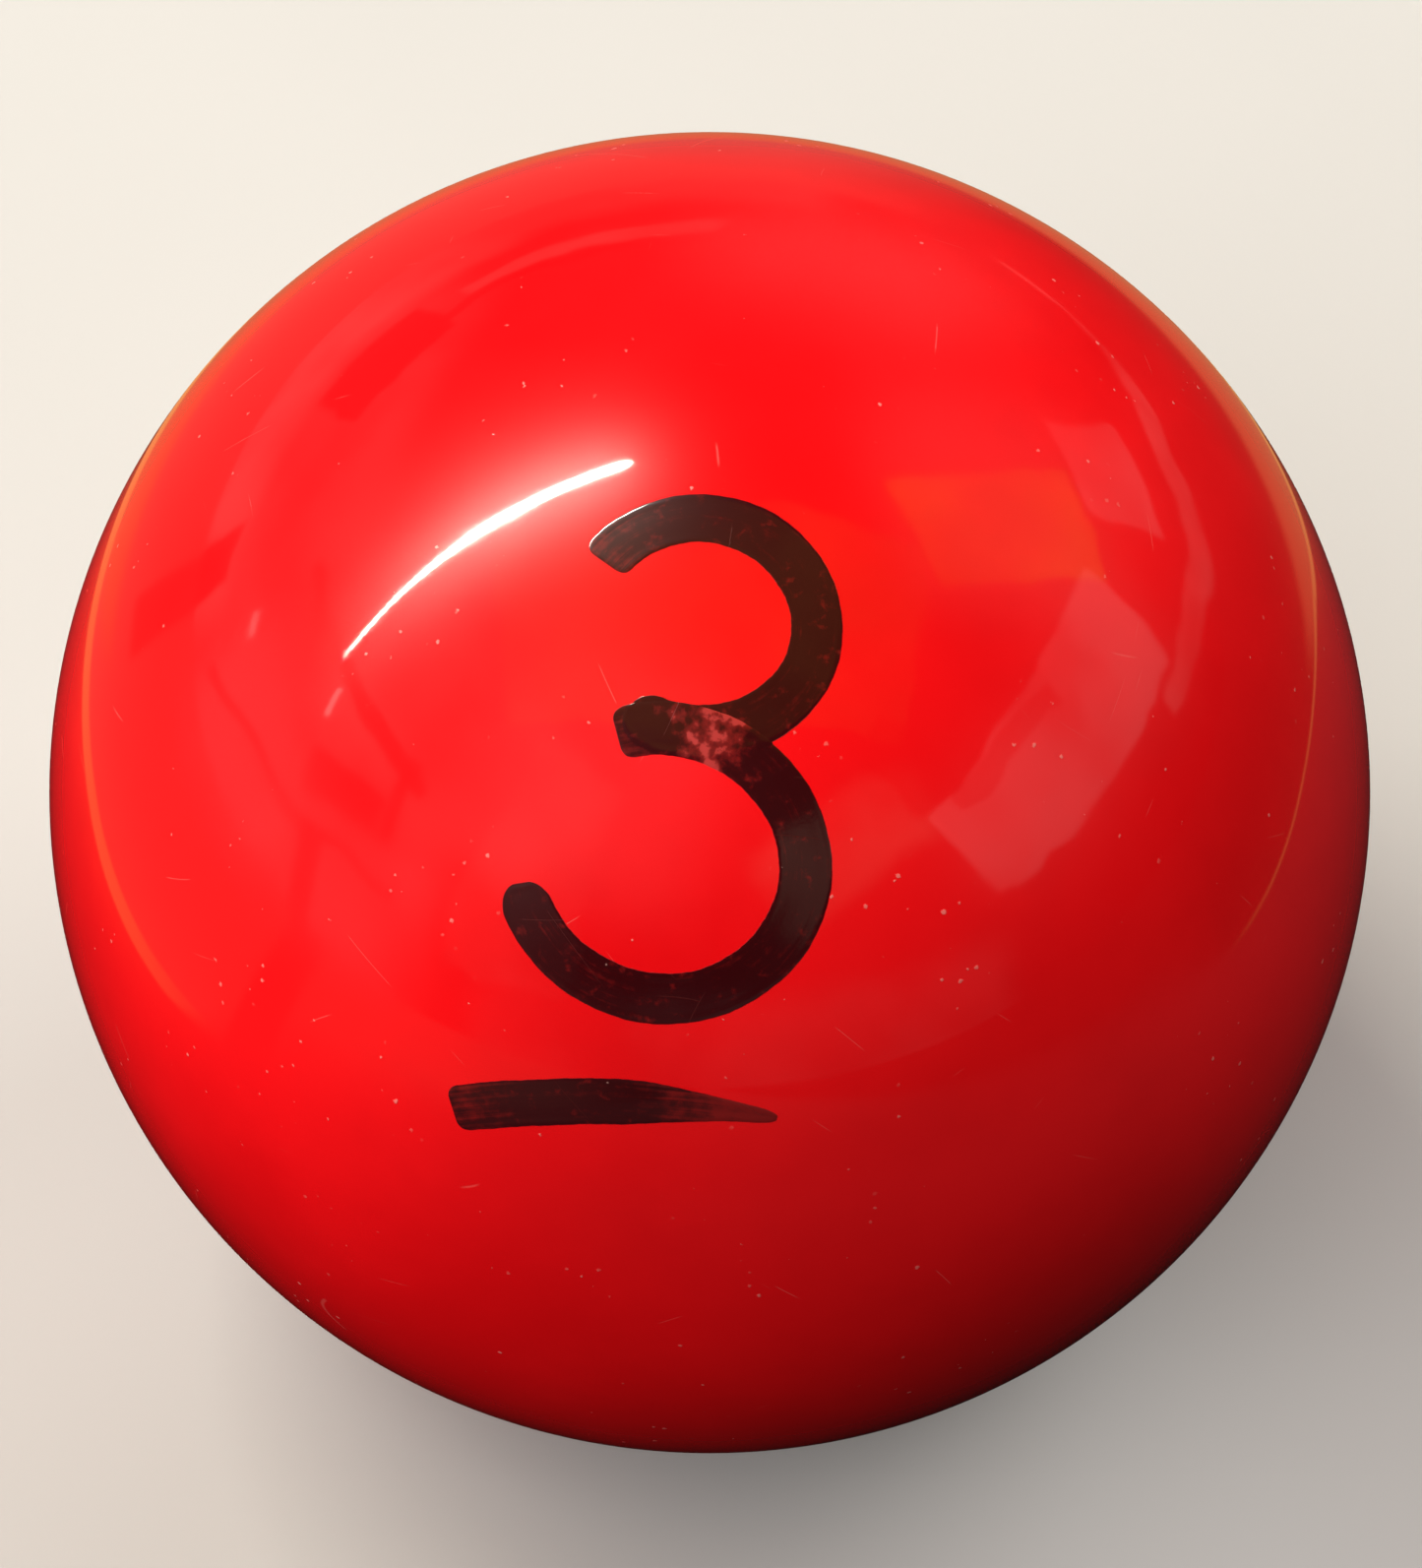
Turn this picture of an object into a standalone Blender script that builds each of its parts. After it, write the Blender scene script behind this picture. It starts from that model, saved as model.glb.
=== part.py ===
"""A red cue-sports ball: one solid casting of resin, with a number drawn on it in marker ink.

The ball's centre is the origin, +Z is up, and all lengths are in metres. The number is drawn on the
side that faces -Y and up. It is laid out on a flat sheet, in (across, up) coordinates, and the sheet is
wrapped onto the ball so that every distance from the number's middle stays true.
"""

import math

import bmesh
import bpy
import numpy as np
from mathutils import Vector

MM = 0.001

# The ball
BALL_DIAMETER = 52.5 * MM
SQUARES_PER_SIDE = 20  # each side of the cube that is rounded into the ball

# The dried ink
PEN_WIDTH = 2.0 * MM
FILM_THICKNESS = 0.1 * MM
FILM_CLEARANCE = 0.06 * MM  # under a film, down to the ball or to the film it crosses
STATION_STEP = 0.75 * MM  # between two rows of points along a stroke
STRIPS_ACROSS = 4
END_ROWS = 6  # rows of points over the length in which an end rounds off
BOWL_POINTS = 240  # on a bowl's line, from which the rows take their places
UNDERLINE_POINTS = 120

# Where the number's middle lies on the ball
MARK_ELEVATION = math.radians(47.0)
MARK_AZIMUTH = math.radians(-6.0)  # from -Y, towards +X when positive
MARK_SLANT = math.radians(-7.0)  # turns the number clockwise

# The number: two open bowls, one over the other, that share the waist between them
WAIST_HEIGHT = 3.6 * MM
UPPER_BOWL_WIDTH = 8.4 * MM
UPPER_BOWL_HEIGHT = 7.8 * MM
UPPER_BOWL_TURN = (158.0, -116.0)  # degrees, start to end of the stroke
LOWER_BOWL_WIDTH = 10.2 * MM
LOWER_BOWL_HEIGHT = 9.6 * MM
LOWER_BOWL_SHIFT = 0.4 * MM  # how far its middle lies to the right of the upper bowl's
LOWER_BOWL_TURN = (119.0, -160.0)

# The line drawn under the number
UNDERLINE_SPACE = 2.2 * MM  # between the lower bowl's edge and the line's, at the line's middle
UNDERLINE_LENGTH = 12.0 * MM
UNDERLINE_BOW = 0.7 * MM  # how far its ends fall below its middle
UNDERLINE_RISE = 2.4 * MM  # how much higher its right end is than its left
UNDERLINE_SHIFT = 0.3 * MM

# How each stroke ends: the length over which a blunt end rounds off, and a lifted end's taper
BLUNT_END = 0.7 * MM
ROUND_END = 1.15 * MM
TAPER_LENGTH = 6.5 * MM
TAPER_WIDTH = 0.35  # share of the pen's width that is left at a lifted end
TIP_WIDTH = 0.12  # share of the width left at the very tip

# Where a stroke climbs onto one already drawn: distances past the lower stroke's edge
CLIMB_FULL = 1.0 * MM
CLIMB_START = 2.6 * MM

SHARP_ANGLE = math.radians(40.0)  # edges that turn more than this are shaded sharp
NEARLY_ZERO = 1e-9  # stands in for a length of nothing, which can't be divided by

COLOURS = {
    "resin_red": ((0.66, 0.008, 0.009, 1.0), 0.08),
    "marker_ink": ((0.030, 0.006, 0.004, 1.0), 0.22),
}


def clear_scene():
    for obj in list(bpy.data.objects):
        bpy.data.objects.remove(obj, do_unlink=True)


def material(name):
    colour, roughness = COLOURS[name]
    made = bpy.data.materials.new(name)
    made.use_nodes = True
    shader = made.node_tree.nodes["Principled BSDF"]
    shader.inputs["Base Color"].default_value = colour
    shader.inputs["Roughness"].default_value = roughness
    shader.inputs["Metallic"].default_value = 0.0
    made.diffuse_color = colour
    return made


def add_object(name, work, paint):
    mesh = bpy.data.meshes.new(name)
    bmesh.ops.recalc_face_normals(work, faces=work.faces)
    work.to_mesh(mesh)
    work.free()
    mesh.shade_smooth()
    mesh.set_sharp_from_angle(angle=SHARP_ANGLE)
    mesh.materials.append(paint)
    obj = bpy.data.objects.new(name, mesh)
    bpy.context.scene.collection.objects.link(obj)
    return obj


# ---------------------------------------------------------------- the ball


def make_ball(paint):
    """A cube with its sides cut into squares, each corner pushed out onto the ball."""
    work = bmesh.new()
    bmesh.ops.create_cube(work, size=2.0)
    bmesh.ops.subdivide_edges(work, edges=work.edges[:], cuts=SQUARES_PER_SIDE - 1, use_grid_fill=True)
    for corner in work.verts:
        # The tangent gives every square the same angle at the ball's centre.
        spread = Vector([math.tan(value * math.pi / 4) for value in corner.co])
        corner.co = spread.normalized() * BALL_DIAMETER / 2
    return add_object("ball_body", work, paint)


# ---------------------------------------------------------------- laying out the strokes


def bowl(middle, width, height, turn):
    """Points along an open bowl, drawn clockwise."""
    angle = np.radians(np.linspace(turn[0], turn[1], BOWL_POINTS))
    across = middle[0] + width / 2 * np.cos(angle)
    up = middle[1] + height / 2 * np.sin(angle)
    return np.column_stack((across, up))


def underline():
    share = np.linspace(-1.0, 1.0, UNDERLINE_POINTS)
    height = WAIST_HEIGHT - LOWER_BOWL_HEIGHT - PEN_WIDTH - UNDERLINE_SPACE
    across = UNDERLINE_SHIFT + UNDERLINE_LENGTH / 2 * share
    up = height + UNDERLINE_RISE / 2 * share - UNDERLINE_BOW * share**2
    return np.column_stack((across, up))


def smooth_step(share):
    share = np.clip(share, 0.0, 1.0)
    return share * share * (3 - 2 * share)


def stations(length, first_end, last_end):
    """Distances along a stroke: close together where its ends round off, even in between."""
    turned = 1 - np.cos(np.radians(np.linspace(0, 90, END_ROWS)))
    middle = np.linspace(first_end, length - last_end, max(2, round(length / STATION_STEP)))
    return np.concatenate((first_end * turned, middle[1:-1], length - last_end * turned[::-1]))


def half_widths(distance, length, first_end, last_end, lifted):
    """Half the stroke's width at each distance along it."""
    width = np.full(len(distance), PEN_WIDTH / 2)
    if lifted:
        left = smooth_step((length - distance) / TAPER_LENGTH)
        width *= TAPER_WIDTH + (1 - TAPER_WIDTH) * left
    for from_end, end in ((distance, first_end), (length - distance, last_end)):
        inward = np.clip(from_end / end, 0.0, 1.0)
        width *= TIP_WIDTH + (1 - TIP_WIDTH) * np.sqrt(inward * (2 - inward))
    return width


def footprint(line, first_end, last_end, lifted):
    """The stroke's rows of points on the flat sheet: rows along it, columns across it."""
    step = np.linalg.norm(np.diff(line, axis=0), axis=1)
    travelled = np.concatenate(([0.0], np.cumsum(step)))
    distance = stations(travelled[-1], first_end, last_end)
    middle = np.column_stack([np.interp(distance, travelled, line[:, axis]) for axis in (0, 1)])
    heading = np.gradient(line, travelled, axis=0)
    heading = np.column_stack([np.interp(distance, travelled, heading[:, axis]) for axis in (0, 1)])
    heading /= np.linalg.norm(heading, axis=1, keepdims=True)
    left = np.column_stack((-heading[:, 1], heading[:, 0]))
    half = half_widths(distance, travelled[-1], first_end, last_end, lifted)
    share = np.linspace(-1.0, 1.0, STRIPS_ACROSS + 1)
    return middle[:, None, :] + left[:, None, :] * (half[:, None] * share)[:, :, None]


def distance_to(line, points):
    """How far each point lies from the nearest point of a line, on the flat sheet."""
    apart = points[..., None, :] - line[None, None, :, :]
    return np.linalg.norm(apart, axis=-1).min(axis=-1)


# ---------------------------------------------------------------- wrapping a stroke onto the ball


def mark_axes():
    """Unit vectors at the number's middle: out of the ball, across the number, and up it."""
    level = math.cos(MARK_ELEVATION)
    out = Vector(
        (
            math.sin(MARK_AZIMUTH) * level,
            -math.cos(MARK_AZIMUTH) * level,
            math.sin(MARK_ELEVATION),
        )
    )
    across = Vector((0, 0, 1)).cross(out).normalized()
    up = out.cross(across)
    turned_across = across * math.cos(MARK_SLANT) + up * math.sin(MARK_SLANT)
    turned_up = up * math.cos(MARK_SLANT) - across * math.sin(MARK_SLANT)
    return out, turned_across, turned_up


def wrap(points):
    """Directions from the ball's centre to points of the sheet, with true distances from its middle."""
    out, across, up = (np.array(axis) for axis in mark_axes())
    reach = np.linalg.norm(points, axis=-1, keepdims=True)
    angle = reach / (BALL_DIAMETER / 2)
    heading = points / np.maximum(reach, NEARLY_ZERO)
    sideways = heading[..., :1] * across + heading[..., 1:] * up
    return np.cos(angle) * out + np.sin(angle) * sideways


def make_stroke(name, line, paint, first_end, last_end, lifted=False, crosses=None):
    """A closed film of even thickness over the stroke's footprint, a little above the ball.

    crosses is the line of a stroke already drawn, which this one climbs over.
    """
    sheet = footprint(line, first_end, last_end, lifted)
    lift = np.full(sheet.shape[:2], FILM_CLEARANCE)
    if crosses is not None:
        past_edge = distance_to(crosses, sheet) - PEN_WIDTH / 2
        climb = smooth_step((CLIMB_START - past_edge) / (CLIMB_START - CLIMB_FULL))
        lift += climb * (FILM_THICKNESS + FILM_CLEARANCE)
    ray = wrap(sheet)
    under = ray * (BALL_DIAMETER / 2 + lift)[..., None]
    top = ray * (BALL_DIAMETER / 2 + lift + FILM_THICKNESS)[..., None]

    work = bmesh.new()
    rows, columns = sheet.shape[:2]
    under_verts = [[work.verts.new(under[row, column]) for column in range(columns)] for row in range(rows)]
    top_verts = [[work.verts.new(top[row, column]) for column in range(columns)] for row in range(rows)]
    for layer in (under_verts, top_verts):
        for row in range(rows - 1):
            for column in range(columns - 1):
                work.faces.new(
                    (
                        layer[row][column],
                        layer[row][column + 1],
                        layer[row + 1][column + 1],
                        layer[row + 1][column],
                    )
                )
    # The rim: along one side, across the last row, back along the other side, across the first row.
    around = [(0, column) for column in range(columns - 1)]
    around += [(row, columns - 1) for row in range(rows - 1)]
    around += [(rows - 1, column) for column in range(columns - 1, 0, -1)]
    around += [(row, 0) for row in range(rows - 1, 0, -1)]
    for place, (row, column) in enumerate(around):
        next_row, next_column = around[(place + 1) % len(around)]
        work.faces.new(
            (
                under_verts[row][column],
                under_verts[next_row][next_column],
                top_verts[next_row][next_column],
                top_verts[row][column],
            )
        )
    return add_object(name, work, paint)


def make_mark(paint):
    upper_middle = (0.0, WAIST_HEIGHT + UPPER_BOWL_HEIGHT / 2)
    lower_middle = (LOWER_BOWL_SHIFT, WAIST_HEIGHT - LOWER_BOWL_HEIGHT / 2)
    upper = bowl(upper_middle, UPPER_BOWL_WIDTH, UPPER_BOWL_HEIGHT, UPPER_BOWL_TURN)
    lower = bowl(lower_middle, LOWER_BOWL_WIDTH, LOWER_BOWL_HEIGHT, LOWER_BOWL_TURN)
    make_stroke("ink_upper_bowl", upper, paint, BLUNT_END, ROUND_END)
    make_stroke("ink_lower_bowl", lower, paint, BLUNT_END, ROUND_END, crosses=upper)
    make_stroke("ink_underline", underline(), paint, BLUNT_END, ROUND_END, lifted=True)


def main():
    clear_scene()
    make_ball(material("resin_red"))
    make_mark(material("marker_ink"))


main()
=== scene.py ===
"""The looks of a red cue-sports ball with a number drawn on it in marker ink.

The ball is polished resin with dust, lint, hairline scratches and finger haze on it. The ink is three
thin films, one for each stroke of the pen. The middle of the ball is the origin and +Z is up.
"""

import math

import bmesh
import bpy
import numpy as np
from mathutils import Matrix, Vector


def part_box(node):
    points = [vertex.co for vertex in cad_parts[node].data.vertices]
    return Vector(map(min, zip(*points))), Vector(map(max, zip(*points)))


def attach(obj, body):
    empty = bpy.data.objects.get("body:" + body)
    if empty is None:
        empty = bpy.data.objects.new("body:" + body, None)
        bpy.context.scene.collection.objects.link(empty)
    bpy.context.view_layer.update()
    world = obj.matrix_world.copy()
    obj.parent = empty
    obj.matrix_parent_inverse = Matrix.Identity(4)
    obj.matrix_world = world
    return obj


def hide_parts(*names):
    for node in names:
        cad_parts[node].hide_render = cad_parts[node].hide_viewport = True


bl_info = {
    "name": "Inked Cue-Sports Ball",
    "version": (1, 0, 0),
    "blender": (4, 5, 0),
    "location": "View3D > Sidebar > Ball",
    "description": "Builds a polished resin ball with a number in marker ink, and a studio round it",
    "category": "Object",
}

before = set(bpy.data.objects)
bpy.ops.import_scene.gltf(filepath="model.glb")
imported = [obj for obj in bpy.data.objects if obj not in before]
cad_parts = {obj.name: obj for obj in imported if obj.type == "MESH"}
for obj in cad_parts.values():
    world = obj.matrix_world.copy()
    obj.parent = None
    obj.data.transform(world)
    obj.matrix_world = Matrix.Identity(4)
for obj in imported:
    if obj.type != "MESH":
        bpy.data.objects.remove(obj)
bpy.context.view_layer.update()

MM = 0.001
BODY = "root"
BALL_NODE = "ball_body"
BALL_LOW, BALL_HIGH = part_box(BALL_NODE)
BALL_MIDDLE = (BALL_LOW + BALL_HIGH) / 2
BALL_RADIUS = (BALL_HIGH.z - BALL_LOW.z) / 2

# How the view is framed: its sides, and where the ball's disc lies in it
FRAME_WIDTH, FRAME_HEIGHT = 1445, 1593
DISC_SHARE_OF_WIDTH = 0.929
DISC_SHIFT = (0.0008, 0.0055)  # shares of the long side, left and down

# Where the number's middle lies on the ball, as on the solids
MARK_AZIMUTH = -6.0  # degrees
MARK_ELEVATION = 47.0
MARK_SLANT = -7.0

# The number's strokes, as on the solids
WAIST_HEIGHT = 3.6 * MM
UPPER_BOWL_WIDTH = 8.4 * MM
UPPER_BOWL_HEIGHT = 7.8 * MM
UPPER_BOWL_TURN = (158.0, -116.0)
LOWER_BOWL_WIDTH = 10.2 * MM
LOWER_BOWL_HEIGHT = 9.6 * MM
LOWER_BOWL_SHIFT = 0.4 * MM
LOWER_BOWL_TURN = (119.0, -160.0)
UNDERLINE_SPACE = 2.2 * MM
UNDERLINE_LENGTH = 12.0 * MM
UNDERLINE_BOW = 0.7 * MM
UNDERLINE_RISE = 2.4 * MM
UNDERLINE_SHIFT = 0.3 * MM
BLUNT_END = 0.7 * MM
ROUND_END = 1.15 * MM
TAPER_LENGTH = 6.5 * MM
TAPER_WIDTH = 0.35
TIP_WIDTH = 0.12
BLUNT_SQUARE = 3.4  # 2 makes a round end, and more makes its corners squarer
ROUND_SQUARE = 2.2

BLACK = (0.0, 0.0, 0.0, 1.0)
BACKDROP = (0.75, 0.74, 0.72, 1.0)  # what the camera sees past the floor
NEARLY_ZERO = 1e-9  # stands in for a length of nothing, which can't be divided by


# ---------------------------------------------------------------- settings


class BallSettings(bpy.types.PropertyGroup):
    squares_per_side: bpy.props.IntProperty(
        name="Squares per side",
        description="Squares along each side of the cube that is rounded into the ball",
        default=80,
        min=8,
        max=160,
    )
    colour: bpy.props.FloatVectorProperty(
        name="Resin",
        description="Colour of the resin",
        subtype="COLOR",
        size=3,
        min=0.0,
        max=1.0,
        default=(0.80, 0.0022, 0.0045),
    )
    deep_colour: bpy.props.FloatVectorProperty(
        name="Resin, deep",
        description="Colour of the resin's darker clouds",
        subtype="COLOR",
        size=3,
        min=0.0,
        max=1.0,
        default=(0.70, 0.0010, 0.0030),
    )
    dust_colour: bpy.props.FloatVectorProperty(
        name="Dust",
        description="Colour of dust and lint",
        subtype="COLOR",
        size=3,
        min=0.0,
        max=1.0,
        default=(0.80, 0.42, 0.36),
    )
    roughness: bpy.props.FloatProperty(
        name="Polish",
        description="Roughness of the clean polished resin",
        subtype="FACTOR",
        min=0.0,
        max=1.0,
        default=0.045,
    )


class InkSettings(bpy.types.PropertyGroup):
    pen_width: bpy.props.FloatProperty(
        name="Pen width",
        description="Width of a stroke of the pen",
        unit="LENGTH",
        subtype="DISTANCE",
        default=2.0 * MM,
    )
    film: bpy.props.FloatProperty(
        name="Film",
        description="Thickness of the dried ink",
        unit="LENGTH",
        subtype="DISTANCE",
        default=0.008 * MM,
    )
    rim: bpy.props.FloatProperty(
        name="Rim",
        description="Width over which a film rises from the ball at its edge",
        unit="LENGTH",
        subtype="DISTANCE",
        default=0.11 * MM,
    )
    row_step: bpy.props.FloatProperty(
        name="Row step",
        description="Distance between rows of points along a stroke",
        unit="LENGTH",
        subtype="DISTANCE",
        default=0.07 * MM,
    )
    thick_colour: bpy.props.FloatVectorProperty(
        name="Ink, thick",
        description="Colour of ink where it is thick",
        subtype="COLOR",
        size=3,
        min=0.0,
        max=1.0,
        default=(0.030, 0.0003, 0.0014),
    )
    thin_colour: bpy.props.FloatVectorProperty(
        name="Ink, thin",
        description="Colour of ink where the resin shows through it",
        subtype="COLOR",
        size=3,
        min=0.0,
        max=1.0,
        default=(0.170, 0.0040, 0.0040),
    )


class StudioSettings(bpy.types.PropertyGroup):
    camera_elevation: bpy.props.FloatProperty(
        name="Camera elevation",
        description="Angle of the camera above the horizon",
        subtype="ANGLE",
        default=math.radians(50.0),
    )
    camera_distance: bpy.props.FloatProperty(
        name="Camera distance",
        description="Distance from the camera to the ball's middle",
        unit="LENGTH",
        subtype="DISTANCE",
        default=0.210,
    )
    floor_colour: bpy.props.FloatVectorProperty(
        name="Floor",
        description="Colour of the floor",
        subtype="COLOR",
        size=3,
        min=0.0,
        max=1.0,
        default=(0.50, 0.49, 0.475),
    )


# ---------------------------------------------------------------- shader nodes


NODE_SPACING = 190
LAST_NODE_PLACE = (4000, 0)


class Nodes:
    """Adds nodes to a tree, left to right, and links them."""

    def __init__(self, tree):
        self.tree = tree
        self.column = 0

    def add(self, kind, **settings):
        node = self.tree.nodes.new(kind)
        node.location = (self.column * NODE_SPACING, 0)
        self.column += 1
        for name, value in settings.items():
            setattr(node, name, value)
        return node

    def put(self, value, socket):
        if isinstance(value, bpy.types.NodeSocket):
            self.tree.links.new(value, socket)
        else:
            socket.default_value = value

    def math(self, operation, first, second=None, third=None):
        node = self.add("ShaderNodeMath", operation=operation)
        for place, value in enumerate((first, second, third)):
            if value is not None:
                self.put(value, node.inputs[place])
        return node.outputs["Value"]

    def vector(self, operation, first, second=None, scale=None):
        node = self.add("ShaderNodeVectorMath", operation=operation)
        self.put(first, node.inputs[0])
        if second is not None:
            self.put(second, node.inputs[1])
        if scale is not None:
            self.put(scale, node.inputs["Scale"])
        return node.outputs["Vector"]

    def dot(self, first, second):
        node = self.add("ShaderNodeVectorMath", operation="DOT_PRODUCT")
        self.put(first, node.inputs[0])
        self.put(second, node.inputs[1])
        return node.outputs["Value"]

    def ramp(self, value, low, high, to_low=0.0, to_high=1.0):
        """A smooth step of value between low and high."""
        node = self.add("ShaderNodeMapRange", interpolation_type="SMOOTHSTEP")
        for name, given in (
            ("Value", value),
            ("From Min", low),
            ("From Max", high),
            ("To Min", to_low),
            ("To Max", to_high),
        ):
            self.put(given, node.inputs[name])
        return node.outputs["Result"]

    def noise(self, vector, scale, detail=2.0, roughness=0.5):
        node = self.add("ShaderNodeTexNoise", noise_dimensions="3D")
        self.put(vector, node.inputs["Vector"])
        self.put(scale, node.inputs["Scale"])
        self.put(detail, node.inputs["Detail"])
        self.put(roughness, node.inputs["Roughness"])
        return node

    def mix_colour(self, factor, first, second):
        node = self.add("ShaderNodeMix", data_type="RGBA")
        self.put(factor, node.inputs["Factor"])
        sockets = [s for s in node.inputs if s.type == "RGBA"]
        self.put(first, sockets[0])
        self.put(second, sockets[1])
        return [s for s in node.outputs if s.type == "RGBA"][0]

    def group(self, tree, **inputs):
        node = self.add("ShaderNodeGroup", node_tree=tree)
        for name, value in inputs.items():
            self.put(value, node.inputs[name])
        return node


def rgba(colour):
    return (*colour, 1.0)


def new_group(name, inputs, outputs):
    """An empty shader node group with these sockets, each (name, kind, default)."""
    tree = bpy.data.node_groups.new(name, "ShaderNodeTree")
    for label, kind, default in inputs:
        socket = tree.interface.new_socket(label, in_out="INPUT", socket_type=kind)
        if default is not None:
            socket.default_value = default
    for label, kind in outputs:
        tree.interface.new_socket(label, in_out="OUTPUT", socket_type=kind)
    nodes = Nodes(tree)
    source = nodes.add("NodeGroupInput")
    sink = tree.nodes.new("NodeGroupOutput")
    sink.location = LAST_NODE_PLACE
    return tree, nodes, source, sink


VALUE, VECTOR = "NodeSocketFloat", "NodeSocketVector"
FLECK_PUSH = 1.4  # how much of a fleck's size its edge is pushed about by
FLECK_CORE = 0.55  # share of a fleck's reach that is at full strength


def specks_group():
    """Small irregular flecks, scattered. Lengths are in millimetres. Stretch draws the flecks out."""
    tree, n, source, sink = new_group(
        "Specks",
        [
            ("Place", VECTOR, None),
            ("Ragged", VECTOR, (0.0, 0.0, 0.0)),
            ("Spacing", VALUE, 2.4),
            ("Size", VALUE, 0.12),
            ("Turn", VECTOR, (0.0, 0.0, 0.0)),
            ("Stretch", VALUE, 1.0),
        ],
        [("Mask", VALUE)],
    )
    give = source.outputs
    turned = n.add("ShaderNodeVectorRotate", rotation_type="EULER_XYZ")
    n.put(give["Place"], turned.inputs["Vector"])
    n.put(give["Turn"], turned.inputs["Rotation"])
    pushed = n.vector("SCALE", give["Ragged"], scale=n.math("MULTIPLY", give["Size"], FLECK_PUSH))
    placed = n.vector("ADD", turned.outputs["Vector"], pushed)
    squeeze = n.add("ShaderNodeCombineXYZ")
    n.put(n.math("DIVIDE", 1.0, give["Stretch"]), squeeze.inputs["X"])
    n.put(1.0, squeeze.inputs["Y"])
    n.put(1.0, squeeze.inputs["Z"])
    squeezed = n.vector("MULTIPLY", placed, squeeze.outputs["Vector"])
    cells = n.add("ShaderNodeTexVoronoi", voronoi_dimensions="3D", feature="F1")
    n.put(squeezed, cells.inputs["Vector"])
    n.put(n.math("DIVIDE", 1.0, give["Spacing"]), cells.inputs["Scale"])
    away = n.math("MULTIPLY", cells.outputs["Distance"], give["Spacing"])
    # Each fleck has its own size, from a quarter to full.
    own = n.add("ShaderNodeSeparateColor")
    n.put(cells.outputs["Color"], own.inputs["Color"])
    reach = n.math("MULTIPLY", give["Size"], n.ramp(own.outputs["Red"], 0.15, 1.0, 0.25, 1.0))
    inner = n.math("MULTIPLY", reach, FLECK_CORE)
    n.put(n.ramp(away, reach, inner), sink.inputs["Mask"])
    return tree


HAIRLINE_SWAY = 5.0  # millimetres that a hairline may bend by
HAIRLINE_CORE = 0.3  # share of a hairline's width that is at full strength
HAIRLINE_JUMP = 400.0  # moves each line to its own part of the noise that breaks it up


def hairlines_group():
    """Broken hairline scratches that run in one direction. Lengths are in millimetres."""
    tree, n, source, sink = new_group(
        "Hairlines",
        [
            ("Place", VECTOR, None),
            ("Turn", VECTOR, (0.0, 0.0, 0.0)),
            ("Spacing", VALUE, 1.5),
            ("Width", VALUE, 0.02),
            ("Run", VALUE, 3.0),
            ("Share", VALUE, 0.2),
        ],
        [("Mask", VALUE)],
    )
    give = source.outputs
    turned = n.add("ShaderNodeVectorRotate", rotation_type="EULER_XYZ")
    n.put(give["Place"], turned.inputs["Vector"])
    n.put(give["Turn"], turned.inputs["Rotation"])
    bend = n.noise(turned.outputs["Vector"], 0.09, 0.0)
    parts = n.add("ShaderNodeSeparateXYZ")
    n.put(turned.outputs["Vector"], parts.inputs["Vector"])
    swayed = n.math("MULTIPLY_ADD", bend.outputs["Fac"], HAIRLINE_SWAY, parts.outputs["X"])
    lines = n.add("ShaderNodeTexVoronoi", voronoi_dimensions="1D", feature="F1")
    n.put(swayed, lines.inputs["W"])
    n.put(n.math("DIVIDE", 1.0, give["Spacing"]), lines.inputs["Scale"])
    away = n.math("MULTIPLY", lines.outputs["Distance"], give["Spacing"])
    line = n.ramp(away, give["Width"], n.math("MULTIPLY", give["Width"], HAIRLINE_CORE))
    # A coarse noise, different for each line, keeps only short runs of it.
    own = n.add("ShaderNodeSeparateColor")
    n.put(lines.outputs["Color"], own.inputs["Color"])
    jump = n.add("ShaderNodeCombineXYZ")
    n.put(n.math("MULTIPLY", own.outputs["Red"], HAIRLINE_JUMP), jump.inputs["X"])
    n.put(n.math("MULTIPLY", own.outputs["Green"], HAIRLINE_JUMP), jump.inputs["Y"])
    elsewhere = n.vector("ADD", turned.outputs["Vector"], jump.outputs["Vector"])
    runs = n.noise(elsewhere, n.math("DIVIDE", 1.0, give["Run"]), 0.0)
    start = n.math("SUBTRACT", 0.72, n.math("MULTIPLY", give["Share"], 0.4))
    kept = n.ramp(runs.outputs["Fac"], start, n.math("ADD", start, 0.05))
    n.put(n.math("MULTIPLY", line, kept), sink.inputs["Mask"])
    return tree


SCUFF_TURNS = ((0.3, 0.8, 0.1), (1.4, 0.2, 2.1), (2.2, 1.3, 0.7))


def scuffs_group(hairlines):
    """Hairlines in three directions together."""
    tree, n, source, sink = new_group(
        "Scuffs",
        [
            ("Place", VECTOR, None),
            ("Spacing", VALUE, 1.6),
            ("Width", VALUE, 0.02),
            ("Share", VALUE, 0.25),
        ],
        [("Mask", VALUE)],
    )
    give = source.outputs
    together = None
    for turn in SCUFF_TURNS:
        lines = n.group(
            hairlines,
            Place=give["Place"],
            Turn=turn,
            Spacing=give["Spacing"],
            Width=give["Width"],
            Share=give["Share"],
        )
        mask = lines.outputs["Mask"]
        together = mask if together is None else n.math("MAXIMUM", together, mask)
    n.put(together, sink.inputs["Mask"])
    return tree


GRAIN_SCALE = 2.6
CLOUD_OFFSET = (31.0, 7.0, 13.0)  # keeps the clouds from following the smears
CLOUD_SCALE = 0.6


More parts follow.
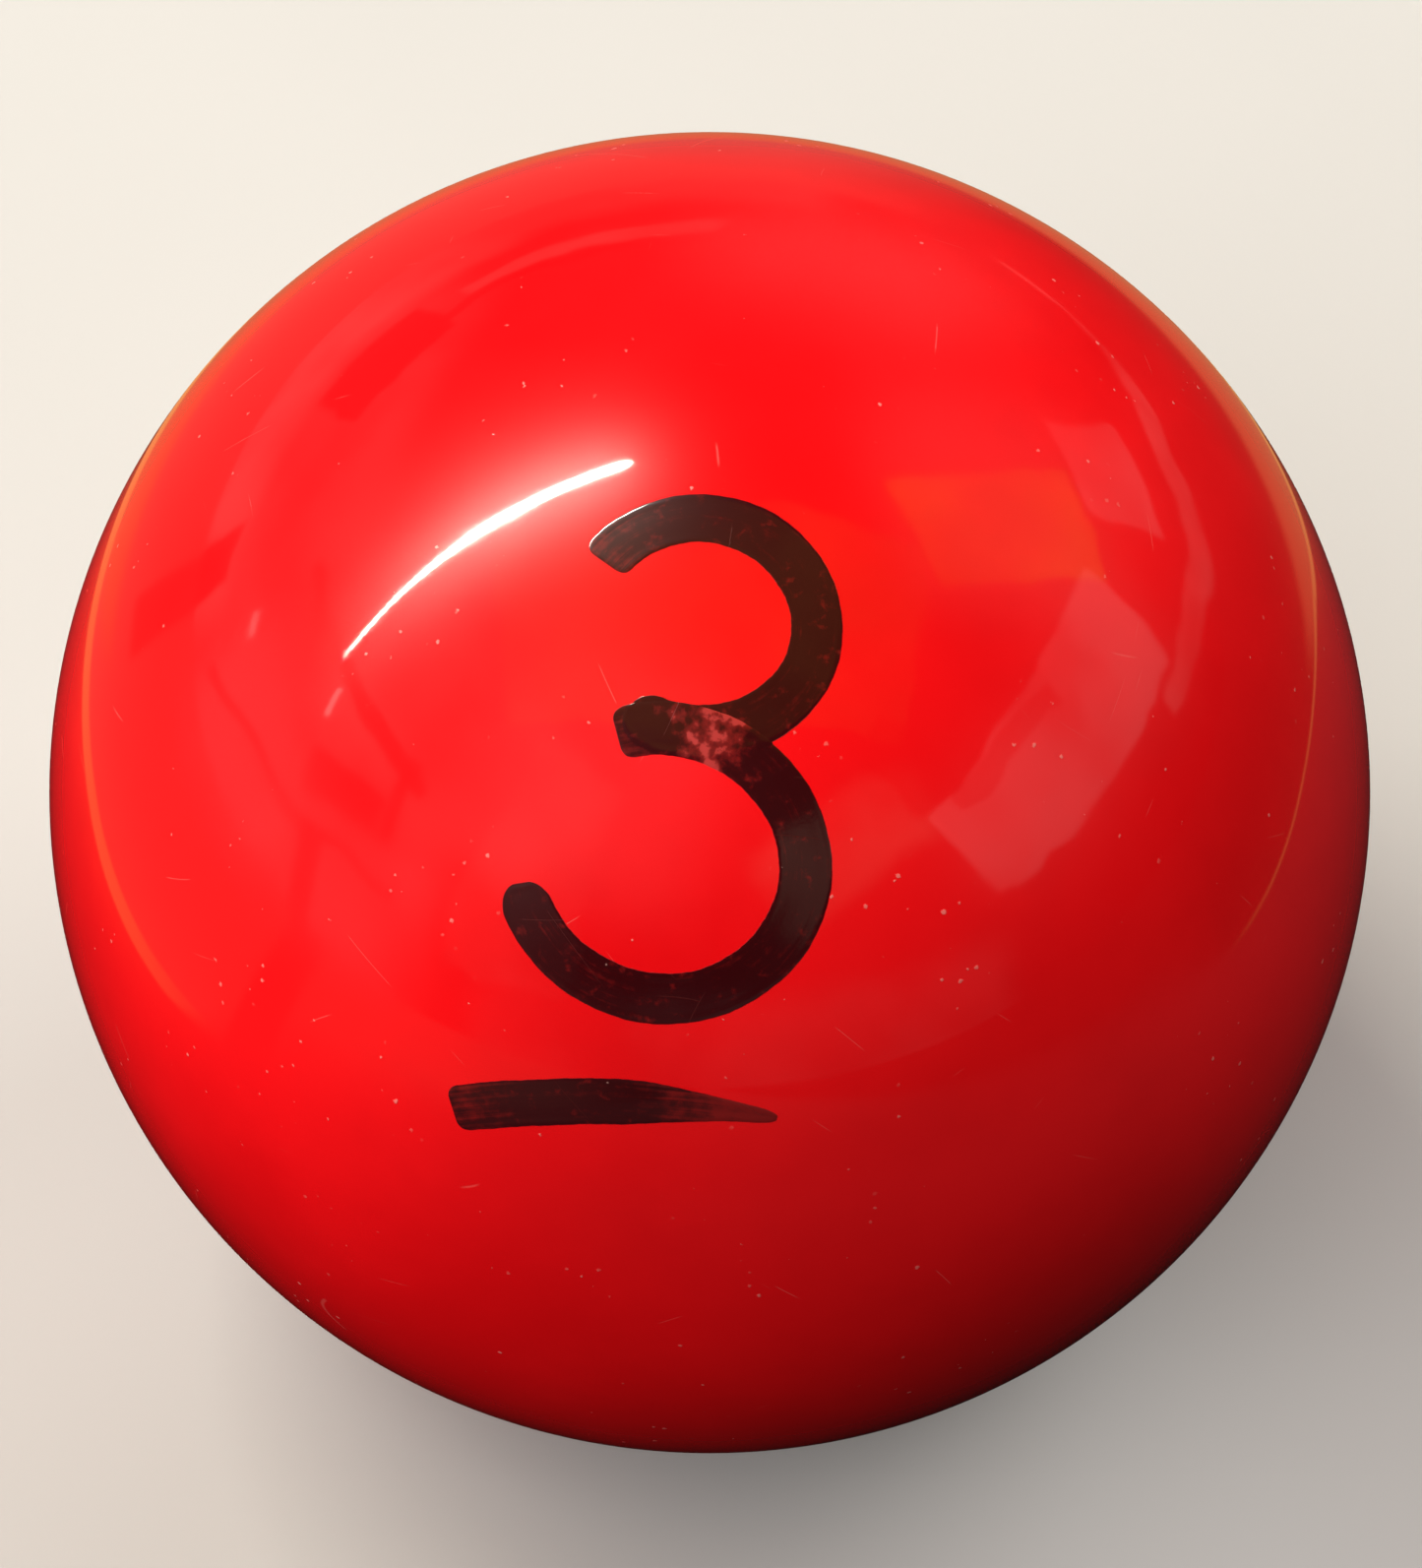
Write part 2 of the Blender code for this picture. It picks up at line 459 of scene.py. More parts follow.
def handling_group():
    """Finger haze: broad soft smears with a fine grain, from 0 (clean) to 1. Also broad clouds."""
    tree, n, source, sink = new_group(
        "Handling",
        [("Place", VECTOR, None), ("Size", VALUE, 9.0)],
        [("Smear", VALUE), ("Cloud", VALUE)],
    )
    give = source.outputs
    broad = n.noise(give["Place"], n.math("DIVIDE", 1.0, give["Size"]), 3.0, 0.55)
    smear = n.ramp(broad.outputs["Fac"], 0.46, 0.66)
    grain = n.noise(give["Place"], GRAIN_SCALE, 3.0, 0.65)
    n.put(n.math("MULTIPLY", smear, grain.outputs["Fac"]), sink.inputs["Smear"])
    shifted = n.vector("ADD", give["Place"], CLOUD_OFFSET)
    cloud = n.noise(shifted, n.math("DIVIDE", CLOUD_SCALE, give["Size"]), 4.0, 0.6)
    n.put(n.ramp(cloud.outputs["Fac"], 0.35, 0.68), sink.inputs["Cloud"])
    return tree


class Effects:
    """The shared node groups, each built once."""

    def __init__(self):
        self.specks = specks_group()
        self.hairlines = hairlines_group()
        self.scuffs = scuffs_group(self.hairlines)
        self.handling = handling_group()


EFFECTS = []


def effects():
    if not EFFECTS:
        EFFECTS.append(Effects())
    return EFFECTS[0]


def new_material(name):
    material = bpy.data.materials.new(name)
    material.use_nodes = True
    shader = material.node_tree.nodes["Principled BSDF"]
    nodes = Nodes(material.node_tree)
    place = nodes.add("ShaderNodeTexCoord").outputs["Object"]
    # The groups work in millimetres.
    return material, shader, nodes, nodes.vector("SCALE", place, scale=1 / MM)


def ragged_edges(n, place):
    """A fine push in every direction, from -0.5 to 0.5, that makes flecks irregular."""
    noise = n.noise(place, 7.0, 1.0, 0.6)
    return n.vector("SUBTRACT", noise.outputs["Color"], (0.5, 0.5, 0.5))


def finish_gloss(n, shader, rough, height, gloss):
    """Gives the shader its roughness, a bump from a height in millimetres, and its gloss."""
    n.put(rough, shader.inputs["Roughness"])
    bump = n.add("ShaderNodeBump")
    bump.inputs["Strength"].default_value = 1.0
    bump.inputs["Distance"].default_value = MM
    n.put(height, bump.inputs["Height"])
    n.put(bump.outputs["Normal"], shader.inputs["Normal"])
    for name, value in gloss.items():
        shader.inputs[name].default_value = value


# What lies on the resin: the settings of its groups, in millimetres
DUST = {"Spacing": 1.9, "Size": 0.10}
LOOSE_DUST = {"Spacing": 0.62, "Size": 0.11, "Turn": (0.4, 1.1, 0.2)}
LINT = {"Spacing": 2.9, "Size": 0.07, "Turn": (1.2, 0.3, 0.8), "Stretch": 4.5}
RESIN_SCUFFS = {"Spacing": 3.4, "Width": 0.022, "Share": 0.02}

# How much each changes the resin's colour, roughness and height (millimetres)
DUST_TINT, SCUFF_TINT = 0.36, 0.10
SMEAR_DULLS, DUST_DULLS, SCUFF_DULLS = 0.07, 0.5, 0.22
RIPPLE_HEIGHT, DUST_HEIGHT, SCUFF_HEIGHT = 0.0016, 0.010, -0.0018

# The coat is a weak wide gloss round the sharp one.
RESIN_GLOSS = {"IOR": 1.50, "Coat Weight": 0.48, "Coat Roughness": 0.27}
INK_GLOSS = {"IOR": 1.48, "Coat Weight": 0.45, "Coat Roughness": 0.30}


def polished_resin(ball):
    """Deep red cast resin, polished: a sharp gloss, a weak wide haze, dust, lint and hairlines."""
    material, shader, n, place = new_material("polished_resin")
    made = effects()
    handling = n.group(made.handling, Place=place)
    clean = n.mix_colour(handling.outputs["Cloud"], rgba(ball.colour), rgba(ball.deep_colour))

    ragged = ragged_edges(n, place)
    dust = n.group(made.specks, Place=place, Ragged=ragged, **DUST)
    fine = n.group(made.specks, Place=place, Ragged=ragged, **LOOSE_DUST)
    lint = n.group(made.specks, Place=place, Ragged=ragged, **LINT)
    # Loose dust gathers in patches.
    patches = n.noise(place, 0.24, 1.0, 0.5)
    patch = n.ramp(patches.outputs["Fac"], 0.56, 0.66)
    loose = n.math("MULTIPLY", fine.outputs["Mask"], patch)
    round_dust = n.math("MAXIMUM", dust.outputs["Mask"], loose)
    all_dust = n.math("MAXIMUM", round_dust, lint.outputs["Mask"])
    scuffs = n.group(made.scuffs, Place=place, **RESIN_SCUFFS).outputs["Mask"]
    dust_colour = rgba(ball.dust_colour)
    dusted = n.mix_colour(n.math("MULTIPLY", all_dust, DUST_TINT), clean, dust_colour)
    worn = n.mix_colour(n.math("MULTIPLY", scuffs, SCUFF_TINT), dusted, dust_colour)
    n.put(worn, shader.inputs["Base Color"])

    rough = n.math("MULTIPLY_ADD", handling.outputs["Smear"], SMEAR_DULLS, ball.roughness)
    rough = n.math("MULTIPLY_ADD", all_dust, DUST_DULLS, rough)
    rough = n.math("MULTIPLY_ADD", scuffs, SCUFF_DULLS, rough)
    ripple = n.noise(place, 0.45, 1.0, 0.5)
    height = n.math("MULTIPLY", ripple.outputs["Fac"], RIPPLE_HEIGHT)
    height = n.math("MULTIPLY_ADD", all_dust, DUST_HEIGHT, height)
    height = n.math("MULTIPLY_ADD", scuffs, SCUFF_HEIGHT, height)
    finish_gloss(n, shader, rough, height, RESIN_GLOSS)
    return material


DULLED_RESIN = (0.42, 0.030, 0.026, 1.0)
SCRATCHED_INK = (0.10, 0.012, 0.010, 1.0)
INK_SCUFFS = {"Spacing": 1.6, "Width": 0.016, "Share": 0.14}
INK_DUST = {"Spacing": 1.7, "Size": 0.06}
STREAK_SCALE = (0.22, 6.5, 1.0)  # along a stroke, across it, and between strokes
UNEVEN_INK = 0.75  # how far streaks and mottling change the ink's density
FADED_EDGE = 0.05  # millimetres from a film's edge
INK_ROUGHNESS = 0.055


def marker_ink(ball, ink):
    """Dried permanent ink, glossy and nearly black. Resin shows through where it is thin or rubbed."""
    material, shader, n, place = new_material("marker_ink")
    made = effects()
    density = n.add("ShaderNodeAttribute", attribute_name="ink_density").outputs["Fac"]
    edge = n.add("ShaderNodeAttribute", attribute_name="ink_edge").outputs["Fac"]
    wear = n.add("ShaderNodeAttribute", attribute_name="ink_wear").outputs["Fac"]
    route = n.add("ShaderNodeAttribute", attribute_name="ink_route").outputs["Vector"]

    # Streaks that the pen's tip leaves along a stroke, and mottling where ink drew back as it dried.
    streaks = n.noise(n.vector("MULTIPLY", route, STREAK_SCALE), 1.0, 2.0, 0.6)
    mottle = n.noise(place, 1.7, 3.0, 0.6)
    uneven = n.math("ADD", streaks.outputs["Fac"], mottle.outputs["Fac"])
    uneven = n.math("SUBTRACT", uneven, 1.0)
    covered = n.math("MULTIPLY_ADD", uneven, UNEVEN_INK, density)
    thin_share = n.ramp(covered, 0.95, 0.40)

    # Where it was rubbed while it was wet, it broke up into blots, with dulled resin between them.
    blots = n.noise(place, 2.1, 3.0, 0.55)
    rubbed = n.math("MULTIPLY_ADD", wear, 0.34, blots.outputs["Fac"])
    smudged = n.ramp(rubbed, 0.58, 0.86)
    bare = n.ramp(rubbed, 0.80, 0.92)
    colour = n.mix_colour(
        n.math("MAXIMUM", thin_share, smudged), rgba(ink.thick_colour), rgba(ink.thin_colour)
    )
    # The last few hundredths of a millimetre thin out to nothing.
    faded = n.ramp(edge, FADED_EDGE, 0.0)
    colour = n.mix_colour(n.math("MULTIPLY", bare, 0.85), colour, DULLED_RESIN)
    colour = n.mix_colour(n.math("MULTIPLY", faded, 0.75), colour, rgba(ball.colour))

    scuffs = n.group(made.scuffs, Place=place, **INK_SCUFFS).outputs["Mask"]
    ragged = ragged_edges(n, place)
    dust = n.group(made.specks, Place=place, Ragged=ragged, **INK_DUST).outputs["Mask"]
    colour = n.mix_colour(n.math("MULTIPLY", scuffs, 0.35), colour, SCRATCHED_INK)
    colour = n.mix_colour(n.math("MULTIPLY", dust, 0.25), colour, rgba(ball.dust_colour))
    n.put(colour, shader.inputs["Base Color"])

    handling = n.group(made.handling, Place=place, Size=5.0)
    rough = INK_ROUGHNESS
    for mask, dulls in (
        (handling.outputs["Smear"], 0.10),
        (smudged, 0.16),
        (scuffs, 0.20),
        (dust, 0.4),
    ):
        rough = n.math("MULTIPLY_ADD", mask, dulls, rough)

    # Heights and depths, in millimetres
    skin = n.noise(place, 3.8, 2.0, 0.6)
    height = n.math("MULTIPLY", skin.outputs["Fac"], 0.0020)
    for mask, rises in ((streaks.outputs["Fac"], 0.0016), (scuffs, -0.002), (bare, -0.004)):
        height = n.math("MULTIPLY_ADD", mask, rises, height)
    finish_gloss(n, shader, rough, height, INK_GLOSS)
    return material


# A painted reflection that the floor glows with for every ray but the camera's. The gloss mirrors it
# in place of the floor, and the ball takes painted bounce light from it. It shows a dark cloth with
# rounded corners and a bright hem.
# It has no front edge. Past it the room is bright on the left and dark on the right, to either side
# of a line through the ball. Lengths are in millimetres from the ball. Two numbers in brackets are
# where a change starts and where it is full.
CLOTH_MIDDLE = 16.0
CLOTH_HALF_WIDTH = 86.0
CLOTH_BACK = 50.0
CLOTH_CORNER = 32.0
# The ball's painted shadow on the cloth: near black close to the ball, lifting between these distances
CLOTH_LIGHTENS = (22.0, 110.0)
CLOTH_FAR_OFF = (110.0, 420.0)
BLUR_IN_FRONT, BLUR_BEHIND = 90.0, 1.5  # its side edges blur away towards the front
CLOTH_SHARPENS = (-70.0, -10.0)
HEM_ON_LEFT, HEM_ON_RIGHT = 7.5, 2.4
HEM_NARROWS = (-40.0, 60.0)
HEM_BRIGHTENS = (-32.0, 4.0)  # in front of that the hem is lost in shade
HEM_BLUR = 1.5
ROOM_LINE = (0.966, -0.26, 0.0)  # points across the line, to the right
ROOM_LINE_BLUR = (-0.22, 0.12)
STRIP_AWAY = (122.0, 104.0)  # a warm strip of floor behind the cloth
STRIP_BACK = (44.0, 56.0)
# Dark posts: the way towards each, the way across it, and how far off it starts
POSTS = (
    ((-0.91, -0.41, 0.0), (0.41, -0.91, 0.0), 0.0),
    ((-0.88, 0.47, 0.0), (0.47, 0.88, 0.0), 140.0),
)
POST_START_BLUR = 20.0
POST_SIDES = (0.075, 0.045)  # sines of the angles at which a post's side starts and is full
POST_DARKNESS = 0.8
# The cloth's colours: painted shadow close to the ball, painted light farther off
CLOTH_SHADED = (0.0025, 0.0018, 0.0018)
CLOTH_LIT = (0.052, 0.046, 0.048)
CLOTH_FAR = (0.100, 0.080, 0.075)
CLOTH_HEM = (0.75, 0.42, 0.13)
BEHIND_CLOTH = (0.46, 0.19, 0.085)
LEFT_ROOM = (0.20, 0.135, 0.110)
RIGHT_ROOM = (0.035, 0.026, 0.024)

FLOOR_FADE = (190.0, 620.0)  # where the camera's floor turns into the backdrop
FLOOR_SHADE = 0.97  # brightness of the floor's faint clouds


def painted_reflection(n, place):
    """A painted reflection for the gloss to see in place of the floor: the cloth with the ball's
    painted shadow round it, its hem, and the room past them.
    """
    parts = n.add("ShaderNodeSeparateXYZ")
    n.put(place, parts.inputs["Vector"])
    across, back = parts.outputs["X"], parts.outputs["Y"]
    away = n.math("POWER", n.dot(place, place), 0.5)
    # Painted shadow: the cloth is near black close to the ball, and lighter away from it.
    cloth = n.mix_colour(n.ramp(away, *CLOTH_LIGHTENS), rgba(CLOTH_SHADED), rgba(CLOTH_LIT))
    cloth = n.mix_colour(n.ramp(away, *CLOTH_FAR_OFF), cloth, rgba(CLOTH_FAR))

    off_middle = n.math("ABSOLUTE", n.math("SUBTRACT", across, CLOTH_MIDDLE))
    past_side = n.math("SUBTRACT", off_middle, CLOTH_HALF_WIDTH - CLOTH_CORNER)
    past_side = n.math("MAXIMUM", past_side, 0.0)
    past_back = n.math("MAXIMUM", n.math("SUBTRACT", back, CLOTH_BACK - CLOTH_CORNER), 0.0)
    corner = n.math("MULTIPLY_ADD", past_side, past_side, n.math("MULTIPLY", past_back, past_back))
    past = n.math("SUBTRACT", n.math("POWER", corner, 0.5), CLOTH_CORNER)

    side = n.math("DIVIDE", n.dot(place, ROOM_LINE), away)
    room = n.mix_colour(n.ramp(side, *ROOM_LINE_BLUR), rgba(LEFT_ROOM), rgba(RIGHT_ROOM))
    strip = n.math("MULTIPLY", n.ramp(away, *STRIP_AWAY), n.ramp(back, *STRIP_BACK))
    room = n.mix_colour(strip, room, rgba(BEHIND_CLOTH))
    for post_ahead, post_aside, start in POSTS:
        reach = n.ramp(n.dot(place, post_ahead), start, start + POST_START_BLUR)
        aside = n.math("DIVIDE", n.math("ABSOLUTE", n.dot(place, post_aside)), away)
        post = n.math("MULTIPLY", n.ramp(aside, *POST_SIDES), reach)
        room = n.mix_colour(n.math("MULTIPLY", post, POST_DARKNESS), room, rgba(RIGHT_ROOM))
    hem_width = n.ramp(across, *HEM_NARROWS, HEM_ON_LEFT, HEM_ON_RIGHT)
    hem = n.ramp(past, n.math("ADD", hem_width, HEM_BLUR), hem_width)
    hem = n.math("MULTIPLY", hem, n.ramp(back, *HEM_BRIGHTENS))
    room = n.mix_colour(hem, room, rgba(CLOTH_HEM))
    softness = n.ramp(back, *CLOTH_SHARPENS, BLUR_IN_FRONT, BLUR_BEHIND)
    return n.mix_colour(n.ramp(past, 0.0, softness), cloth, room), away


def plain_floor(studio):
    """A pale floor to the camera. To every other ray it is black and glows with a painted reflection
    of a dark cloth, which the ball mirrors in its place and takes painted bounce light from.
    """
    material, shader, n, place = new_material("plain_floor")
    soft = n.noise(place, 0.02, 2.0, 0.5)
    shade = n.ramp(soft.outputs["Fac"], 0.3, 0.7)
    lighter = rgba(studio.floor_colour)
    darker = rgba([channel * FLOOR_SHADE for channel in studio.floor_colour])
    pale = n.mix_colour(shade, lighter, darker)
    painted_reflection_glow, away = painted_reflection(n, place)

    # Far off, past the lamps' reach, the floor glows as pale as the backdrop that it meets.
    far = n.ramp(away, *FLOOR_FADE)
    lit = n.mix_colour(far, pale, BLACK)
    glow = n.mix_colour(far, BLACK, BACKDROP)
    # Every ray but the camera's sees a black floor that glows with the painted reflection. The gloss
    # mirrors it, and it lights the ball as painted bounce light.
    seen = n.add("ShaderNodeLightPath").outputs["Is Camera Ray"]
    n.put(n.mix_colour(seen, BLACK, lit), shader.inputs["Base Color"])
    n.put(n.mix_colour(seen, painted_reflection_glow, glow), shader.inputs["Emission Color"])
    shader.inputs["Emission Strength"].default_value = 1.0
    shader.inputs["Roughness"].default_value = 0.9
    shader.inputs["Specular IOR Level"].default_value = 0.0
    return material


LAMP_COLOUR = (1.0, 0.97, 0.84, 1.0)


def lamp_glow(strength):
    material = bpy.data.materials.new("lamp_glow")
    material.use_nodes = True
    shader = material.node_tree.nodes["Principled BSDF"]
    shader.inputs["Base Color"].default_value = BLACK
    shader.inputs["Emission Color"].default_value = LAMP_COLOUR
    shader.inputs["Emission Strength"].default_value = strength
    return material


# ---------------------------------------------------------------- directions


def direction(azimuth, elevation):
    """A unit vector. Azimuth 0 is -Y, the camera's side, and 90 is +X."""
    azimuth, elevation = math.radians(azimuth), math.radians(elevation)
    level = math.cos(elevation)
    return Vector((math.sin(azimuth) * level, -math.cos(azimuth) * level, math.sin(elevation)))


def facing(azimuth, elevation, lean=0.0):
    """A direction, and what lies across it and up it, turned about it by lean degrees."""
    out = direction(azimuth, elevation)
    level = Vector((0, 0, 1)).cross(out).normalized()
    lean = math.radians(lean)
    across = level * math.cos(lean) + out.cross(level) * math.sin(lean)
    return out, across, out.cross(across)


# ---------------------------------------------------------------- meshes


def object_from(name, points, faces, material):
    mesh = bpy.data.meshes.new(name)
    mesh.from_pydata(points, [], faces)
    mesh.materials.append(material)
    mesh.shade_smooth()
    obj = bpy.data.objects.new(name, mesh)
    bpy.context.scene.collection.objects.link(obj)
    return obj


def make_ball(name, squares, material):
    """A cube with its sides cut into squares, each corner pushed out onto the ball."""
    work = bmesh.new()
    bmesh.ops.create_cube(work, size=2.0)
    bmesh.ops.subdivide_edges(work, edges=work.edges[:], cuts=squares - 1, use_grid_fill=True)
    for corner in work.verts:
        spread = Vector([math.tan(value * math.pi / 4) for value in corner.co])
        corner.co = BALL_MIDDLE + spread.normalized() * BALL_RADIUS
    bmesh.ops.recalc_face_normals(work, faces=work.faces)
    mesh = bpy.data.meshes.new(name)
    work.to_mesh(mesh)
    work.free()
    mesh.materials.append(material)
    mesh.shade_smooth()
    obj = bpy.data.objects.new(name, mesh)
    bpy.context.scene.collection.objects.link(obj)
    return obj


BOWL_POINTS = 900
UNDERLINE_POINTS = 500


def smooth_step(share):
    share = np.clip(share, 0.0, 1.0)
    return share * share * (3 - 2 * share)


def bowl(middle, width, height, turn):
    angle = np.radians(np.linspace(turn[0], turn[1], BOWL_POINTS))
    across = middle[0] + width / 2 * np.cos(angle)
    up = middle[1] + height / 2 * np.sin(angle)
    return np.column_stack((across, up))


def underline(pen_width):
    share = np.linspace(-1.0, 1.0, UNDERLINE_POINTS)
    height = WAIST_HEIGHT - LOWER_BOWL_HEIGHT - pen_width - UNDERLINE_SPACE
    across = UNDERLINE_SHIFT + UNDERLINE_LENGTH / 2 * share
    up = height + UNDERLINE_RISE / 2 * share - UNDERLINE_BOW * share**2
    return np.column_stack((across, up))


def wrap(points):
    """Directions from the ball's middle to points of the sheet that the number is laid out on."""
    axes = facing(MARK_AZIMUTH, MARK_ELEVATION, MARK_SLANT)
    out, across, up = (np.array(axis) for axis in axes)
    reach = np.linalg.norm(points, axis=-1, keepdims=True)
    angle = reach / BALL_RADIUS
    heading = points / np.maximum(reach, NEARLY_ZERO)
    sideways = heading[..., :1] * across + heading[..., 1:] * up
    return np.cos(angle) * out + np.sin(angle) * sideways


END_ROWS = 26
COLUMNS = 29
CROWDING = 2.1  # 1 spaces the columns evenly, and more crowds them towards the edges
# An unsteady hand: each wave's share, its turns in radians to the millimetre, and how far the
# stroke's seed and the side that it runs along shift it
WAVES = (
    (1.0, 0.9, 1.0, 1.0),
    (0.6, 2.3, 2.1, -1.0),
    (0.35, 6.1, 1.0, 4.0),
    (0.25, 13.7, 0.0, 1.0),
)
WAVE_DEPTH = 0.016 * MM
HIGH_SIDE = 1.7  # sets the waves of one edge off from the other's
BEAD_HEIGHT = 0.45  # share of a film's thickness
BEAD_PLACE = 1.6  # rims in from the edge


class Stroke:
    """One stroke of the pen, laid out on the flat sheet."""

    def __init__(self, line, ink, first_end, last_end, lifted=False, seed=0.0):
        self.line = line
        self.ink = ink
        self.first_end = first_end
        self.last_end = last_end
        self.lifted = lifted
        self.seed = seed
        step = np.linalg.norm(np.diff(line, axis=0), axis=1)
        self.travelled = np.concatenate(([0.0], np.cumsum(step)))
        self.length = self.travelled[-1]

    def half_width(self, distance):
        width = np.full(np.shape(distance), self.ink.pen_width / 2)
        if self.lifted:
            left = smooth_step((self.length - distance) / TAPER_LENGTH)
            width *= TAPER_WIDTH + (1 - TAPER_WIDTH) * left
        for from_end, end, square in (
            (distance, self.first_end, BLUNT_SQUARE),
            (self.length - distance, self.last_end, ROUND_SQUARE),
        ):
            outward = 1 - np.clip(from_end / end, 0.0, 1.0)
            width *= TIP_WIDTH + (1 - TIP_WIDTH) * (1 - outward**square) ** (1 / square)
        return width

    def stations(self):
        """Distances of the rows along the stroke, crowded at its ends."""
        turned = 1 - np.cos(np.radians(np.linspace(0, 90, END_ROWS)))
        count = round(self.length / self.ink.row_step)
        middle = np.linspace(self.first_end, self.length - self.last_end, count)
        return np.concatenate(
            (self.first_end * turned, middle[1:-1], self.length - self.last_end * turned[::-1])
        )

    def wobble(self, distance, side):
        """How far the edge wanders in: up to a few hundredths of a millimetre, so never above 0."""
        mm = distance / MM
        wander = 0.0
        for share, rate, by_seed, by_side in WAVES:
            wander = wander + share * (np.sin(mm * rate + by_seed * self.seed + by_side * side) - 1)
        return WAVE_DEPTH * wander

    def footprint(self):
        """Rows of points, and each one's distance along the stroke, across it and from its edge."""
        along = self.stations()
        middle = np.column_stack(
            [np.interp(along, self.travelled, self.line[:, axis]) for axis in (0, 1)]
        )
        slope = np.gradient(self.line, self.travelled, axis=0)
        heading = np.column_stack(
            [np.interp(along, self.travelled, slope[:, axis]) for axis in (0, 1)]
        )
        heading /= np.linalg.norm(heading, axis=1, keepdims=True)
        left = np.column_stack((-heading[:, 1], heading[:, 0]))
        spread = np.linspace(-1.0, 1.0, COLUMNS)
        share = np.sign(spread) * (1 - (1 - np.abs(spread)) ** CROWDING)
        half = self.half_width(along)
        fade = half / (self.ink.pen_width / 2)
        low_side = half + self.wobble(along, 0.0) * fade
        high_side = half + self.wobble(along, HIGH_SIDE) * fade
        reach = np.where(share < 0, low_side[:, None], high_side[:, None])
        across = reach * share
        sheet = middle[:, None, :] + left[:, None, :] * across[:, :, None]
        side_gap = reach * (1 - np.abs(share))
        end_gap = np.minimum(along, self.length - along)[:, None] + 0 * side_gap
        return sheet, along, across, np.minimum(side_gap, end_gap)

    def rise(self, edge_gap):
        """How far the film stands up, this far in from its edge. A bead runs along the edge."""
        ink = self.ink
        body = 1 - (1 - np.clip(edge_gap / ink.rim, 0.0, 1.0)) ** 2
        bead = BEAD_HEIGHT * np.exp(-((edge_gap / ink.rim - BEAD_PLACE) ** 2))
        return ink.film * (body + bead * body)

    def cover(self, points):
        """How far each point of the sheet lies inside this stroke's edge; negative outside."""
        found = []
        for point in points.reshape(-1, 2):
            apart = np.linalg.norm(self.line - point, axis=1)
            nearest = apart.argmin()
            found.append(self.half_width(self.travelled[nearest]) - apart[nearest])
        return np.array(found).reshape(points.shape[:-1])


WORN_AT = 3.4 * MM  # along the second stroke, where a finger rubbed it
WORN_REACH = 1.3 * MM
THIN_START = 4.0 * MM  # the pen's first touch leaves less ink over this length
START_LOSS = 0.22  # shares of the ink's density
LIFT_LOSS = 0.62
DOUBLED_INK = 0.4
OVERLAP_EDGE = 0.06 * MM
OVERLAP_COVER = 0.1 * MM  # keeps an edge from fading where there is ink below it
EDGE_SINK = 0.004 * MM  # how far a film's edge dips into the ball, so that it leaves no gap
EDGE_SINK_REACH = 0.02 * MM


def film_faces(rows, columns):
    index = np.arange(rows * columns).reshape(rows, columns)
    corners = (index[:-1, :-1], index[:-1, 1:], index[1:, 1:], index[1:, :-1])
    top = np.stack(corners, axis=-1).reshape(-1, 4)
    # The underside joins the two edges row by row, out of sight inside the ball.
    floor = np.stack((index[:-1, 0], index[1:, 0], index[1:, -1], index[:-1, -1]), axis=-1)
    ends = [index[0, ::-1].tolist(), index[-1, :].tolist()]
    return top.tolist() + floor.tolist() + ends


def make_film(name, stroke, material, under=None, worn_at=None):
    """A closed skin over the stroke's footprint. under is a stroke it was drawn across."""
    sheet, along, across, edge_gap = stroke.footprint()
    height = stroke.rise(edge_gap) - EDGE_SINK * np.exp(-edge_gap / EDGE_SINK_REACH)
    density = 1 - START_LOSS * smooth_step(1 - along / THIN_START)[:, None] + 0 * edge_gap
    shown_gap = edge_gap
    if under is not None:
        inside = under.cover(sheet)
        height += np.where(inside > 0, under.rise(np.maximum(inside, 0.0)), 0.0)
        on_ink = smooth_step(inside / OVERLAP_EDGE)
        density += DOUBLED_INK * on_ink
        shown_gap = shown_gap + OVERLAP_COVER * on_ink
    if stroke.lifted:
        density -= LIFT_LOSS * smooth_step(1 - (stroke.length - along) / TAPER_LENGTH)[:, None]
    wear = np.zeros(edge_gap.shape)
    if worn_at is not None:
        wear = np.exp(-(((along[:, None] - worn_at) / WORN_REACH) ** 2)) + 0 * edge_gap
    points = wrap(sheet) * (BALL_RADIUS + height)[..., None] + np.array(BALL_MIDDLE)
    faces = film_faces(*edge_gap.shape)
    film = object_from(name, points.reshape(-1, 3).tolist(), faces, material)
    mesh = film.data
    work = bmesh.new()
    work.from_mesh(mesh)
    bmesh.ops.recalc_face_normals(work, faces=work.faces)
    work.to_mesh(mesh)
    work.free()
    layers = (("ink_density", density), ("ink_edge", shown_gap / MM), ("ink_wear", wear))
    for label, values in layers:
        layer = mesh.attributes.new(label, "FLOAT", "POINT")
        layer.data.foreach_set("value", values.astype(np.float32).ravel())
    own = np.full(across.shape, stroke.seed * MM)
    route = np.stack((along[:, None] + 0 * across, across, own), axis=-1)
    layer = mesh.attributes.new("ink_route", "FLOAT_VECTOR", "POINT")
    layer.data.foreach_set("vector", (route / MM).astype(np.float32).ravel())
    return film


BOX_SLACK = 0.25 * MM


def stay_inside(piece, node):
    """Stops the script if a film reaches past the solid that it stands for."""
    low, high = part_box(node)
    for corner in piece.bound_box:
        for axis in range(3):
            if not low[axis] - BOX_SLACK <= corner[axis] <= high[axis] + BOX_SLACK:
                raise RuntimeError(f"{piece.name} lies outside {node}")


# ---------------------------------------------------------------- operators


class BALL_OT_ball(bpy.types.Operator):
    """Makes the polished resin ball"""

    bl_idname = "inked_ball.ball"
    bl_label = "Resin ball"

    def execute(self, context):
        settings = context.scene.ball_settings
        ball = make_ball("resin_ball", settings.squares_per_side, polished_resin(settings))
        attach(ball, BODY)
        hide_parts(BALL_NODE)
        return {"FINISHED"}


